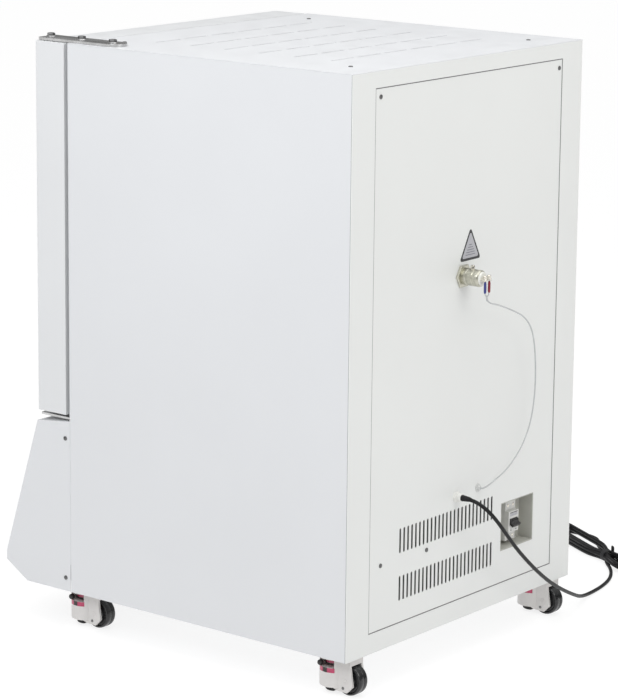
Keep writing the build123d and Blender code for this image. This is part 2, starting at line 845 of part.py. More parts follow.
# ================================================================ leads
power_route = [
    (gland_x, gland_end, base + gland_z),
    (gland_x, 464, base + gland_z),
    (28, 484, 334),
    (19, 501, 319),
    (1, 510, 296),
    (-30, 512, 262),
    (-70, 509, 224),
    (-120, 505, 183),
    (-178, 497, 142),
    (-244, 484, 103),
    (-314, 467, 69),
    (-384, 446, 39),
    (-446, 424, 15),
    (-508, 407, 4.2),
    (-572, 399, 4.2),
    (-634, 380, 4.2),
    (-690, 346, 4.2),
    (-734, 303, 4.3),
]
sensor_route = [
    (probe_x, post_y, head_z - 32),
    (probe_x, post_y, head_z - 42),
    (8, 485, 744),
    (-12, 484, 739),
    (-42, 483, 729),
    (-82, 480, 714),
    (-126, 476, 695),
    (-160, 471, 667),
    (-180, 466, 630),
    (-193, 461, 590),
    (-201, 457, 546),
    (-202, 454, 500),
    (-194, 452, 457),
    (-176, 450, 421),
    (-147, 449, 391),
    (-108, 450, 369),
    (-74, 449, 358),
    (-50, 446, 348),
    (grommet_x, grommet_end + 5, base + grommet_z),
    (grommet_x, grommet_end, base + grommet_z),
]


def corner_radii(route):
    """As large an arc at each corner as its two runs allow."""
    points = [Vector(*p) for p in route]
    radii = []
    for before, at, after in zip(points, points[1:], points[2:]):
        turn = radians((at - before).get_angle(after - at))
        radii.append(0.45 * min((at - before).length, (after - at).length) / tan(turn / 2))
    return radii


for name, route, diameter in (
    ("power_cord", power_route, cord_diameter),
    ("sensor_cable", sensor_route, sensor_lead),
):
    radii = corner_radii(route)
    with BuildPart() as lead:
        with BuildLine() as path:
            FilletPolyline(*route, radius=radii)
        with BuildSketch(Plane(origin=path.line @ 0, z_dir=path.line % 0)):
            Circle(diameter / 2)
        sweep(path=path.line)
    run = path.wires()[0].length
    expected = pi * diameter**2 / 4 * run
    print(name, "length", round(run), "volume ratio", round(lead.part.volume / expected, 4))
    print("  radii", [round(r) for r in radii])
    save(lead, name)

# The rest of the mains lead is folded into a tied hank on the floor, with its plug behind the cabinet.
hank_length = 360.0
hank_width = 44.0
hank_high = 24.0
tie_x = -757.0
tie_y = 291.0
tie_to_end = 110.0
loose_turn = (-155.0, 28.0)  # middle of the turn that has slipped out: along the hank, and aside
loose_turn_reach = (95.0, 34.0)
hank_heading = Vector(0.49, 0.87, 0).normalized()
hank_middle = Vector(tie_x, tie_y, 0.2) + hank_heading * (tie_to_end - hank_length / 2)
with BuildPart() as cord_hank:
    with BuildSketch(Plane(origin=hank_middle, x_dir=hank_heading, z_dir=(0, 0, 1))):
        SlotOverall(hank_length, hank_width)
        with Locations((loose_turn[0] - tie_to_end + hank_length / 2, loose_turn[1])):
            Ellipse(*loose_turn_reach)
    extrude(amount=hank_high)
    fillet(cord_hank.faces().sort_by(Axis.Z)[-1].edges(), 9)
save(cord_hank, "cord_hank")

plug_start = hank_middle - hank_heading * (hank_length / 2) + Vector(0, 0, 18.5)
with BuildPart() as power_plug:
    plug_plane = Plane(origin=plug_start, z_dir=-hank_heading)
    with BuildSketch(plug_plane):
        Circle(cord_diameter / 2 + 1)
    with BuildSketch(plug_plane.offset(28)):
        Circle(11)
    loft()
    with BuildSketch(plug_plane.offset(28)):
        Circle(18.3)
    extrude(amount=34)
    with BuildSketch(plug_plane.offset(62)):
        with GridLocations(19, 1, 2, 1):
            Circle(2.4)
    extrude(amount=19)
save(power_plug, "power_plug")
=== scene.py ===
"""Looks of a free-standing laboratory incubator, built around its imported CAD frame.

Metres, +Z up, floor at Z = 0. +X is the hinge side, -Y the door side and +Y the rear.
Sizes marked mm are turned into metres where they are used.
"""

import json
import math

import bmesh
import bpy
import numpy as np
from mathutils import Matrix, Vector

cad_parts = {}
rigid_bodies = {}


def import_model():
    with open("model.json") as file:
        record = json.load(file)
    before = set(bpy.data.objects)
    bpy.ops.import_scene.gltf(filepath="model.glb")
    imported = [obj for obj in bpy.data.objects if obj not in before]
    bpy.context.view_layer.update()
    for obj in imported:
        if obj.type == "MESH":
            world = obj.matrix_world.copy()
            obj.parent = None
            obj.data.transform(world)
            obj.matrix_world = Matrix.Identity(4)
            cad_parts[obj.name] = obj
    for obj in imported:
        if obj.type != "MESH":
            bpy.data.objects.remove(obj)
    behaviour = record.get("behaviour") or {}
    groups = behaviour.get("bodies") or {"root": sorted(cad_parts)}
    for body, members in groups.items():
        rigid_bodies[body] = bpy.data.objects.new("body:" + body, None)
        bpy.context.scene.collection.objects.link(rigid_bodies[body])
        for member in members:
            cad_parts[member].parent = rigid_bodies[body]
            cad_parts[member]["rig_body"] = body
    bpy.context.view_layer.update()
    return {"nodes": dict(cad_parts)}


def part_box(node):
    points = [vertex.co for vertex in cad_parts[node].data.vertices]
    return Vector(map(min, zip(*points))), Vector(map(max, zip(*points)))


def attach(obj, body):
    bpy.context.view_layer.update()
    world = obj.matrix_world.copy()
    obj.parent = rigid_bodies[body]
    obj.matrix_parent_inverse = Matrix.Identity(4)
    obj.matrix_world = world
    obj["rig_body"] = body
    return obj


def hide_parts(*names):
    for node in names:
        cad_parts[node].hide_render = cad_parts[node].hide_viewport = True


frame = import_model()
nodes = frame["nodes"]
mm = 0.001
STATIONS = ("front_right", "front_left", "rear_right", "rear_left")

# Places of the fittings, in mm in the part's frame: (x, z) on the rear, (y, z) on the sides, (x, y) on top.
GLAND = (30, 340)
GROMMET = (-46, 343)
PROBE = (20, 794)
LABEL = (-3, 848.5)
LABEL_SIZE = (66, 67)
REAR_SCREWS = ((301, 1182), (-306, 1181), (281, 252), (128, 250))
CONSOLE_SCREWS = ((-315.5, 408), (-316.5, 107))
TOP_SCREWS = ((300, 351.5), (300, -228.5), (-300, 351.5), (-300, -228.5))
HINGE_BOLTS = (-378.5, -293.5, -208.5)
VENTS_X = 59
VENTS_HALF = 175
VENT_BANDS = ((160, 219), (259, 318))
LOUVRE_ROWS = np.arange(6) * 90 - 183.5
LOUVRE_HALF = 262
CONSOLE_PANEL = (0.0, -442.0, 285.0)
CONSOLE_RISE, CONSOLE_RUN = 300, 93
AXES = {"X": (1, 0, 0), "Y": (0, 1, 0), "Z": (0, 0, 1)}


# ---------------------------------------------------------------- camera, floor and light
def set_camera():
    """Camera from its yaw, pitch and roll: columns of its matrix are right, up and back."""
    yaw, pitch, roll = (math.radians(angle) for angle in (128.31, 11.26, 0.58))
    flat = Vector((math.sin(yaw), -math.cos(yaw), 0))
    back = flat * math.cos(pitch) + Vector((0, 0, math.sin(pitch)))
    right = Vector((0, 0, 1)).cross(back).normalized()
    up = back.cross(right)
    across = right * math.cos(roll) + up * math.sin(roll)
    upward = up * math.cos(roll) - right * math.sin(roll)
    lens = bpy.data.cameras.new("camera")
    lens.sensor_width = 36
    lens.lens = 152.49
    lens.shift_x = -0.0072
    lens.shift_y = -0.1001
    lens.clip_end = 200
    camera = bpy.data.objects.new("camera", lens)
    place = Matrix((across, upward, back)).transposed().to_4x4()
    place.translation = (4.76213, 3.79278, 1.93903)
    camera.matrix_world = place
    bpy.context.scene.collection.objects.link(camera)
    bpy.context.scene.camera = camera


def soft_box(name, place, target, size, power, colour):
    """A square area light that looks at a target."""
    light = bpy.data.lights.new(name, "AREA")
    light.size = size
    light.energy = power
    light.color = colour
    lamp = bpy.data.objects.new(name, light)
    lamp.location = place
    lamp.rotation_euler = (Vector(target) - Vector(place)).to_track_quat("-Z", "Y").to_euler()
    lamp.visible_camera = False
    bpy.context.scene.collection.objects.link(lamp)


def set_light():
    """White surroundings, brighter overhead; a large box above, smaller ones by the hinge side and rear."""
    scene = bpy.context.scene
    scene.view_settings.view_transform = "Standard"
    world = bpy.data.worlds.new("studio")
    world.use_nodes = True
    tree = world.node_tree
    sky = tree.nodes["Background"]
    sky.inputs["Color"].default_value = (1.0, 1.0, 1.0, 1)
    height = tree.nodes.new("ShaderNodeSeparateXYZ")
    rise = tree.nodes.new("ShaderNodeMapRange")
    rise.inputs["To Min"].default_value = 0.0
    rise.inputs["To Max"].default_value = 1.0
    tree.links.new(tree.nodes.new("ShaderNodeTexCoord").outputs["Generated"], height.inputs[0])
    tree.links.new(height.outputs["Z"], rise.inputs["Value"])
    tree.links.new(rise.outputs["Result"], sky.inputs["Strength"])
    scene.world = world
    soft_box("overhead_box", (0.3, 0.6, 4.2), (0, 0, 0), 4.0, 62, (1, 1, 1))
    soft_box("hinge_side_box", (2.7, 0.2, 2.7), (0.4, 0, 1.1), 1.4, 32, (0.95, 0.97, 1))
    soft_box("rear_box", (0.4, 3.4, 2.4), (0, 0.4, 1.0), 1.4, 23, (1, 1, 0.96))


def set_floor(material):
    """A wide level floor, just under the wheels."""
    mesh = bpy.data.meshes.new("floor")
    reach = 40.0
    corners = [(-reach, -reach, 0), (reach, -reach, 0), (reach, reach, 0), (-reach, reach, 0)]
    mesh.from_pydata(corners, [], [(0, 1, 2, 3)])
    mesh.materials.append(material)
    floor = bpy.data.objects.new("floor", mesh)
    bpy.context.scene.collection.objects.link(floor)


# ---------------------------------------------------------------- materials
def noise(tree, source, scale, detail=3.0):
    """Noise on a coordinate: `scale` cells to the metre."""
    node = tree.nodes.new("ShaderNodeTexNoise")
    node.inputs["Scale"].default_value = scale
    node.inputs["Detail"].default_value = detail
    tree.links.new(source, node.inputs["Vector"])
    return node.outputs["Fac"]


def spread(tree, source, low, high):
    """A noise value carried to a range."""
    node = tree.nodes.new("ShaderNodeMapRange")
    node.inputs["From Min"].default_value = 0.3
    node.inputs["From Max"].default_value = 0.7
    node.inputs["To Min"].default_value = low
    node.inputs["To Max"].default_value = high
    tree.links.new(source, node.inputs["Value"])
    return node.outputs["Result"]


def finish(
    name,
    colour,
    rough,
    metal=0.0,
    mottle=0.03,
    patch=6.0,
    grain=0.0,
    grain_scale=500.0,
    stretch=(1, 1, 1),
    coat=0.0,
    specular=0.5,
    anisotropic=0.0,
    glow=0.0,
):
    """A finish from three noises.

    Broad patches tint the colour, middling ones vary the gloss, and fine ones raise a grain.
    """
    material = bpy.data.materials.new(name)
    material.use_nodes = True
    tree = material.node_tree
    surface = tree.nodes["Principled BSDF"]
    place = tree.nodes.new("ShaderNodeTexCoord").outputs["Object"]
    run = tree.nodes.new("ShaderNodeMapping")
    run.inputs["Scale"].default_value = stretch
    tree.links.new(place, run.inputs["Vector"])
    run = run.outputs["Vector"]
    tint = tree.nodes.new("ShaderNodeMix")
    tint.data_type = "RGBA"
    tint.inputs["A"].default_value = [c * (1 - mottle) for c in colour] + [1]
    tint.inputs["B"].default_value = [min(1.0, c * (1 + mottle)) for c in colour] + [1]
    tree.links.new(spread(tree, noise(tree, place, patch), 0, 1), tint.inputs["Factor"])
    tree.links.new(tint.outputs["Result"], surface.inputs["Base Color"])
    gloss = spread(tree, noise(tree, run, patch * 7), max(0.02, rough - 0.05), rough + 0.05)
    tree.links.new(gloss, surface.inputs["Roughness"])
    if grain:
        bump = tree.nodes.new("ShaderNodeBump")
        bump.inputs["Strength"].default_value = 0.6
        bump.inputs["Distance"].default_value = grain * mm
        tree.links.new(noise(tree, run, grain_scale, 2.0), bump.inputs["Height"])
        tree.links.new(bump.outputs["Normal"], surface.inputs["Normal"])
    surface.inputs["Metallic"].default_value = metal
    surface.inputs["Coat Weight"].default_value = coat
    surface.inputs["Specular IOR Level"].default_value = specular
    surface.inputs["Anisotropic"].default_value = anisotropic
    surface.inputs["Emission Color"].default_value = (1.0, 1.0, 1.0, 1)
    surface.inputs["Emission Strength"].default_value = glow
    return material


def finishes():
    """Every finish on the object, by name."""
    made = {}

    def add(name, *args, **kinds):
        made[name] = finish(name, *args, **kinds)

    add("floor_white", (0.20, 0.20, 0.20), 0.6, mottle=0.004, glow=0.82)
    add("cabinet_white", (0.745, 0.755, 0.772), 0.42, mottle=0.012, patch=3, grain=0.05, grain_scale=420)
    # Painted light: the cabinet's one paint, made lighter and greener on the rear frame and rear panel to set
    # the rear's tone under the lamps.
    add("rear_lit_white", (0.80, 0.81, 0.80), 0.42, mottle=0.012, patch=3, grain=0.05, grain_scale=420)
    add("door_white", (0.75, 0.76, 0.77), 0.38, mottle=0.012, patch=3, grain=0.04, grain_scale=380)
    # Painted shade: dark grey for the strips laid in the gaps round the rear panel and at the rear corners.
    add("gap_shade_grey", (0.16, 0.16, 0.16), 0.6, mottle=0.08, patch=60)
    # Painted shade: near-black for the sheet behind the vent slots.
    add("vent_shade_black", (0.012, 0.012, 0.012), 0.95, mottle=0.1, patch=90)
    add("frame_grey", (0.50, 0.51, 0.52), 0.5, mottle=0.05, patch=9, grain=0.06, grain_scale=400)
    # Condenser coil and fan near-black: a black-painted condenser, darkened further as painted shade of the
    # closed machine bay.
    add("bay_black_and_shade", (0.10, 0.10, 0.10), 0.7, mottle=0.1, patch=14, grain=0.05)
    add(
        "chamber_steel", (0.62, 0.62, 0.61), 0.30, metal=1, mottle=0.05, patch=9,
        grain=0.02, grain_scale=260, stretch=(1, 1, 9), anisotropic=0.5,
    )
    add(
        "hinge_steel", (0.60, 0.60, 0.60), 0.28, metal=1, mottle=0.12, patch=40,
        grain=0.02, grain_scale=600, stretch=(6, 1, 1), anisotropic=0.3,
    )
    add("screw_steel", (0.20, 0.20, 0.20), 0.32, metal=1, mottle=0.2, patch=300, grain=0.01)
    add("foam", (0.80, 0.72, 0.50), 0.95, mottle=0.12, patch=60, grain=0.6, grain_scale=350)
    add("gasket_rubber", (0.62, 0.62, 0.62), 0.62, mottle=0.08, patch=40, grain=0.04, grain_scale=700)
    add("panel_plastic", (0.42, 0.46, 0.50), 0.45, mottle=0.03, patch=30, grain=0.04, grain_scale=900)
    add("key_plastic", (0.12, 0.16, 0.22), 0.40, mottle=0.05, patch=200, grain=0.03, grain_scale=1100)
    add("key_mark", (0.85, 0.86, 0.86), 0.5, mottle=0.03, patch=300)
    add("display_glass", (0.012, 0.014, 0.016), 0.06, mottle=0.2, patch=60, coat=0.6)
    add("switch_black", (0.022, 0.022, 0.023), 0.26, mottle=0.2, patch=200, grain=0.015, grain_scale=1200)
    add("recess_grey", (0.50, 0.50, 0.46), 0.55, mottle=0.05, patch=40, grain=0.04)
    add("breaker_white", (0.68, 0.68, 0.66), 0.42, mottle=0.03, patch=90, grain=0.02, grain_scale=900)
    add("marking_grey", (0.10, 0.10, 0.11), 0.5, mottle=0.08, patch=300)
    add("gland_white", (0.80, 0.80, 0.77), 0.42, mottle=0.04, patch=150, grain=0.02, grain_scale=1300)
    add("gland_grey", (0.62, 0.63, 0.62), 0.5, mottle=0.06, patch=150, grain=0.02, grain_scale=1300)
    add(
        "probe_metal", (0.56, 0.55, 0.47), 0.36, metal=1, mottle=0.14, patch=120,
        grain=0.05, grain_scale=700, stretch=(1, 4, 1),
    )
    add("terminal_metal", (0.75, 0.72, 0.64), 0.24, metal=1, mottle=0.1, patch=200)
    add("ceramic", (0.80, 0.80, 0.75), 0.5, mottle=0.06, patch=160, grain=0.05, grain_scale=900)
    add("sleeve_blue", (0.035, 0.045, 0.22), 0.4, mottle=0.12, patch=200)
    add("sleeve_red", (0.26, 0.015, 0.035), 0.4, mottle=0.12, patch=200)
    add(
        "cord_black", (0.012, 0.012, 0.013), 0.46, mottle=0.25, patch=30, grain=0.03, grain_scale=900,
        specular=0.25,
    )
    add("tie_black", (0.020, 0.020, 0.022), 0.72, mottle=0.25, patch=160, grain=0.25, grain_scale=1500)
    add("lead_grey", (0.50, 0.51, 0.52), 0.34, mottle=0.07, patch=60, grain=0.02, grain_scale=1400)
    add("caster_housing", (0.70, 0.68, 0.665), 0.34, mottle=0.03, patch=40, grain=0.05, grain_scale=500)
    add("wheel_black", (0.016, 0.016, 0.017), 0.20, mottle=0.3, patch=90, grain=0.02, grain_scale=900)
    add("dial_red", (0.50, 0.04, 0.12), 0.24, mottle=0.1, patch=120, coat=0.4)
    add("dial_black", (0.020, 0.018, 0.018), 0.3, mottle=0.2, patch=150)
    add("foot_black", (0.020, 0.020, 0.020), 0.75, mottle=0.25, patch=120, grain=0.12, grain_scale=900)
    add("machine_black", (0.025, 0.025, 0.028), 0.4, mottle=0.2, patch=30, grain=0.1, grain_scale=300)
    add("coil_metal", (0.30, 0.31, 0.32), 0.4, metal=1, mottle=0.1, patch=60, grain=0.04, stretch=(8, 1, 1))
    add("label_black", (0.022, 0.022, 0.024), 0.35, mottle=0.1, patch=200)
    add("label_grey", (0.46, 0.46, 0.49), 0.4, mottle=0.05, patch=200)
    add("label_line", (0.20, 0.20, 0.23), 0.4, mottle=0.05, patch=200)
    return made


# ---------------------------------------------------------------- making pieces
def piece(name, points, faces, body, material, crease=35.0):
    """A closed mesh riding on a body: doubles merged, faces outward, smooth up to the crease in degrees."""
    mesh = bpy.data.meshes.new(name)
    mesh.from_pydata(np.asarray(points, float).reshape(-1, 3).tolist(), [], faces)
    build = bmesh.new()
    build.from_mesh(mesh)
    bmesh.ops.remove_doubles(build, verts=build.verts, dist=1e-6)
    bmesh.ops.recalc_face_normals(build, faces=build.faces)
    build.to_mesh(mesh)
    build.free()
    mesh.shade_smooth()
    mesh.set_sharp_from_angle(angle=math.radians(crease))
    mesh.materials.append(finish_of[material])
    made = bpy.data.objects.new(name, mesh)
    bpy.context.scene.collection.objects.link(made)
    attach(made, body)
    return made


def grid_faces(rows, columns, wrap_rows=False, caps=True):
    """Quads of a grid whose columns close on themselves, with its end rows filled or its rows closed too."""
    r = np.arange(rows if wrap_rows else rows - 1)[:, None] * columns
    c = np.arange(columns)[None, :]
    n = (r + columns) % (rows * columns)
    d = (c + 1) % columns
    faces = np.stack([r + c, r + d, n + d, n + c], -1).reshape(-1, 4).tolist()
    if caps and not wrap_rows:
        faces.append(list(range(columns))[::-1])
        faces.append([(rows - 1) * columns + k for k in range(columns)])
    return faces


def frame_of(direction):
    """Two unit vectors square to a direction and to each other."""
    along = np.asarray(direction, float)
    along = along / np.linalg.norm(along)
    side = np.cross((0, 0, 1) if abs(along[2]) < 0.9 else (0, 1, 0), along)
    side = side / np.linalg.norm(side)
    return along, side, np.cross(along, side)


def round_outline(angle):
    """Radius 1 at every angle."""
    return np.ones_like(angle)


def hex_outline(angle):
    """A hexagon about the unit circle: its flats stand at radius 1."""
    sector = math.pi / 3
    return 1 / np.cos(angle % sector - sector / 2)


def turned(name, start, direction, profile, body, material, outline=round_outline, steps=48, crease=35.0):
    """A profile of (height, radius) pairs in mm carried round an axis.

    Point = start + height * axis + radius * outline(angle) * (cos(angle) * side + sin(angle) * up).
    """
    along, side, up = frame_of(direction)
    angle = np.arange(steps) * (2 * math.pi / steps)
    ring = (np.cos(angle)[:, None] * side + np.sin(angle)[:, None] * up) * outline(angle)[:, None]
    height, radius = (np.array(profile, float) * mm).T
    points = np.asarray(start, float) + height[:, None, None] * along + radius[:, None, None] * ring
    return piece(name, points, grid_faces(len(height), steps), body, material, crease)


def carried(name, path, section, body, material, close=False, crease=35.0):
    """A closed section, an array (n, 2) of offsets in metres, carried along a path of points.

    Each ring stands square to the path's mean direction there: its first axis is level and its second
    is square to both.
    """
    path = np.asarray(path, float)
    if close:
        ahead, behind = np.roll(path, -1, 0), np.roll(path, 1, 0)
    else:
        ahead, behind = np.vstack([path[1:], path[-1:]]), np.vstack([path[:1], path[:-1]])
    along = ahead - behind
    along /= np.linalg.norm(along, axis=1)[:, None]
    level = np.cross((0, 0, 1), along)
    flat = np.linalg.norm(level, axis=1) < 0.05
    level[flat] = (1, 0, 0)
    level /= np.linalg.norm(level, axis=1)[:, None]
    rise = np.cross(along, level)
    section = np.asarray(section, float)
    if section.ndim == 2:
        section = np.repeat(section[None], len(path), 0)
    points = path[:, None] + section[..., :1] * level[:, None] + section[..., 1:] * rise[:, None]
    return piece(
        name, points, grid_faces(len(path), section.shape[1], wrap_rows=close), body, material, crease,
    )


def circle(radius, steps=16):
    """A round section in metres."""
    angle = np.arange(steps) * (2 * math.pi / steps)
    return radius * np.stack([np.cos(angle), np.sin(angle)], -1)


def bend(points, count):
    """A smooth line through a few points, by cubic interpolation on each stretch (Catmull-Rom)."""
    points = np.asarray(points, float)
    padded = np.vstack([2 * points[0] - points[1], points, 2 * points[-1] - points[-2]])
    where = np.linspace(0, len(points) - 1 - 1e-9, count)
    k = where.astype(int)
    t = (where - k)[:, None]
    a, b, c, d = (padded[k + i] for i in range(4))
    return 0.5 * (2 * b + (c - a) * t + (2 * a - 5 * b + 4 * c - d) * t**2 + (3 * b - a - 3 * c + d) * t**3)


def rounded_outline(width, tall, corner, steps=6):
    """A rectangle with round corners, an array (n, 2) anticlockwise about the middle, in metres."""
    quarter = np.linspace(0, math.pi / 2, steps)
    arc = corner * np.stack([np.cos(quarter), np.sin(quarter)], -1)
    turns = [(1, 1, 0), (-1, 1, 1), (-1, -1, 2), (1, -1, 3)]
    corners = []
    for sx, sy, quarter_turns in turns:
        c, s = math.cos(quarter_turns * math.pi / 2), math.sin(quarter_turns * math.pi / 2)
        spun = arc @ np.array([[c, s], [-s, c]])
        corners.append(spun + (sx * (width / 2 - corner), sy * (tall / 2 - corner)))
    return np.vstack(corners)


def plate(name, origin, across, upward, outline, levels, body, material, crease=35.0):
    """An outline stacked along its own normal: levels are (height, inset) pairs in metres.

    Point = origin + x * across + y * upward + height * normal, with each outline point drawn in by the inset.
    """
    across, upward = np.array(across, float), np.array(upward, float)
    normal = np.cross(across, upward)
    outline = np.asarray(outline, float)
    reach = np.linalg.norm(outline, axis=1)[:, None]
    rows = [
        np.asarray(origin, float)
        + (outline * (1 - inset / reach))[:, :1] * across
        + (outline * (1 - inset / reach))[:, 1:] * upward
        + height * normal
        for height, inset in levels
    ]
    return piece(name, np.array(rows), grid_faces(len(levels), len(outline)), body, material, crease)


def softened(node, material, width, segments=2, angle=32.0):
    """A CAD node's own shape with its doubles merged and its edges rounded by `width` mm."""
    source = nodes[node]
    mesh = source.data.copy()
    build = bmesh.new()
    build.from_mesh(mesh)
    bmesh.ops.remove_doubles(build, verts=build.verts, dist=2e-6)
    bmesh.ops.dissolve_limit(build, angle_limit=math.radians(0.6), verts=build.verts, edges=build.edges)
    build.to_mesh(mesh)
    build.free()
    mesh.name = f"{node}_finished"
    mesh.materials.clear()
    mesh.materials.append(finish_of[material])
    for attribute in [a.name for a in mesh.attributes if a.name == "custom_normal"]:
        mesh.attributes.remove(mesh.attributes[attribute])
    mesh.shade_smooth()
    mesh.set_sharp_from_angle(angle=math.radians(angle))
    made = bpy.data.objects.new(f"{node}_finished", mesh)
    bpy.context.scene.collection.objects.link(made)
    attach(made, source["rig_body"])
    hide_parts(node)
    if width:
        round_off = made.modifiers.new("edges", "BEVEL")
        round_off.width = width * mm
        round_off.segments = segments
        round_off.limit_method = "ANGLE"
        round_off.angle_limit = math.radians(angle)
        round_off.harden_normals = True
    return made


def wrap_round(name, axis_at, side, swing, rise, body, material):
    """A thin plate wrapped on the caster's barrel: angles in degrees from the X axis, heights in mm."""
    angle = np.radians(np.linspace(*swing, 17))
    radii, rises = np.array((31.8, 32.5, 32.5, 31.8)), np.array((rise[0], rise[0], rise[1], rise[1]))
    x = side * np.cos(angle)[:, None] * radii
    y = np.sin(angle)[:, None] * radii
    points = np.asarray(axis_at) + mm * np.stack([x, y, np.broadcast_to(rises, x.shape)], -1)
    return piece(name, points, grid_faces(17, 4), body, material, 30)


def bars(name, rows, body, material, crease=30):
    """Straight bars in one mesh: each row gives two opposite corners of a box."""
    corners = np.asarray(rows, float) * mm
    low, high = corners.min(1), corners.max(1)
    pick = np.array([(i, j, k) for k in (0, 1) for j in (0, 1) for i in (0, 1)])
    points = np.where(pick[None], high[:, None], low[:, None]).reshape(-1, 3)
    one = np.array([(0, 2, 3, 1), (4, 5, 7, 6), (0, 1, 5, 4), (2, 6, 7, 3), (0, 4, 6, 2), (1, 3, 7, 5)])
    faces = (one[None] + 8 * np.arange(len(corners))[:, None, None]).reshape(-1, 4)
    return piece(name, points, faces, body, material, crease)


# ---------------------------------------------------------------- leads
def cord_curve(name, points, diameter, material):
    """A smooth round cord: a third-order NURBS line with the route's points in mm as its control points."""
    curve = bpy.data.curves.new(name, "CURVE")
    curve.dimensions = "3D"
    curve.bevel_depth = diameter * mm / 2
    curve.bevel_resolution = 5
    curve.resolution_u = 8
    curve.use_fill_caps = True
    line = curve.splines.new("NURBS")
    line.points.add(len(points) - 1)
    line.points.foreach_set(
        "co", np.hstack([np.array(points, float) * mm, np.ones((len(points), 1))]).ravel(),
    )
    line.order_u = 3
    line.use_endpoint_u = True
    curve.materials.append(finish_of[material])
    cord = bpy.data.objects.new(name, curve)
    bpy.context.scene.collection.objects.link(cord)
    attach(cord, "cabinet")
    return cord


POWER_ROUTE = [
    (30, 441.5, 340), (30, 464, 340), (28, 484, 334), (19, 501, 319), (1, 510, 296), (-30, 512, 262),
    (-70, 509, 224), (-120, 505, 183), (-178, 497, 142), (-244, 484, 103), (-314, 467, 69),
    (-384, 446, 39), (-446, 424, 15), (-508, 407, 4.2), (-572, 399, 4.2), (-634, 380, 4.2),
    (-690, 346, 4.2), (-734, 303, 4.3),
]
SENSOR_ROUTE = [
    (20, 484.5, 762), (20, 484.5, 752), (8, 485, 744), (-12, 484, 739), (-42, 483, 729), (-82, 480, 714),
    (-126, 476, 695), (-160, 471, 667), (-180, 466, 630), (-193, 461, 590), (-201, 457, 546),
    (-202, 454, 500), (-194, 452, 457), (-176, 450, 421), (-147, 449, 391), (-108, 450, 369),
    (-74, 449, 358), (-50, 446, 348), (-46, 437.5, 343), (-46, 432.5, 343),
]
TIE = np.array((-757.0, 291.0, 0.0))
RUN = np.array((0.49, 0.87, 0.0)) / math.hypot(0.49, 0.87)
ACROSS = np.array((-RUN[1], RUN[0], 0.0))
LIFT = np.array((0.0, 0.0, 1.0))


def hank_points():
    """The folded end of the lead: seven strands side by side between two ends, gathered at the tie.

    Strand k runs from the far end to the near end and the next one back. Away from the tie it keeps
    to its own lane, 22 mm off the middle, one layer up for each pair; at the tie it takes its place
    in a round bundle. The ends are half circles, each a little inside the one before it.
    """
    bundle = [(-4, 4.2), (4, 4.2), (-8, 11.1), (8, 11.1), (0, 12.0), (4, 18.6), (-4, 18.6)]
    lane = [-22, 22, -22, 22, -22, 22, -16]
    layer = [4.2, 4.2, 12.2, 12.2, 20.0, 20.0, 11.0]
    far_end = [-222, -232, -241]
    near_end = [82, 73, 64]
    points = []
    for k in range(7):
        first = 12.0 if k == 0 else (far_end[k // 2] if k % 2 else near_end[(k - 1) // 2])
        last = -238.0 if k == 6 else (near_end[k // 2] if k % 2 else far_end[k // 2])
        along = np.linspace(first, last, 9)
        gather = np.exp(-((along / 34.0) ** 2))
        loose = 36.0 * np.exp(-(((along + 160.0) / 46.0) ** 2)) if k == 1 else 0.0
        own_lane = np.where(along > 0, lane[k], -2.0) if k == 6 else lane[k]
        side = bundle[k][0] * gather + own_lane * (1 - gather) + loose
        high = bundle[k][1] * gather + layer[k] * (1 - gather)
        if k == 6:
            high = high + 4.0 * np.exp(-(((along + 236.0) / 26.0) ** 2))
        points.append(TIE + along[:, None] * RUN + side[:, None] * ACROSS + high[:, None] * LIFT)
        if k < 6:
            turn = np.linspace(0, math.pi, 7)[1:-1]
            outward = 1 if k % 2 else -1
            drop = (k // 2) * (3.5 if k % 2 else 7.0)
            next_side = lane[k + 1]
            radius = abs(lane[k] - next_side) / 2
            centre = (lane[k] + next_side) / 2
            s = last + outward * radius * np.sin(turn)
            n = centre + (lane[k] - centre) * np.cos(turn)
            z = np.interp(turn, (0, math.pi), (layer[k], layer[k + 1])) - drop * np.sin(turn)
            points.append(TIE + s[:, None] * RUN + n[:, None] * ACROSS + z[:, None] * LIFT)
    end = TIE - 250.0 * RUN + 18.7 * LIFT
    points.append([end + 6 * RUN, end])
    return np.vstack(points)


def make_leads():
    """The mains lead with its hank, tie, plug and strain relief, and the thin sensor lead."""
    lead = cord_curve("mains_lead", np.vstack([POWER_ROUTE, hank_points()]), 8.0, "cord_black")
    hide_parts("power_cord", "cord_hank")
    relief = turned(
        "lead_strain_relief", np.array((30, 440.5, 340)) * mm, AXES["Y"],
        [(0, 0), (0, 6.2), (2, 6.6), (4, 6.6), (6, 5.6), (7.5, 6.2), (9, 5.4), (10.5, 5.9), (12, 5.2),
         (13.5, 5.6), (15, 5.0), (16.5, 5.3), (20, 4.5), (22, 4.25), (22, 0)],
        "cabinet", "cord_black", steps=32,
    )
    turn = np.linspace(0, 2 * math.pi, 40, endpoint=False)
    middle_of_tie = (TIE + 12.2 * LIFT) * mm
    level, rise = np.cos(turn)[:, None] * ACROSS, np.sin(turn)[:, None] * LIFT
    ring = middle_of_tie + 14.2 * mm * level + 12.0 * mm * rise
    outward = level + rise
    band = rounded_outline(15 * mm, 1.8 * mm, 0.7 * mm, 4)
    points = ring[:, None] + band[None, :, :1] * RUN + band[None, :, 1:] * outward[:, None]
    tie = piece("lead_tie", points, grid_faces(40, len(band), wrap_rows=True), "cabinet", "tie_black")
    tail = plate(
        "lead_tie_tail", middle_of_tie + (14.0 * ACROSS + 6.0 * LIFT) * mm, RUN, LIFT,
        rounded_outline(13 * mm, 30 * mm, 4 * mm), [(-0.7 * mm, 0.5 * mm), (0, 0), (0.7 * mm, 0.5 * mm)],
        "cabinet", "tie_black",
    )
    plug = make_plug()
    sensor = cord_curve("sensor_lead", SENSOR_ROUTE, 3.0, "lead_grey")
    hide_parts("sensor_cable")


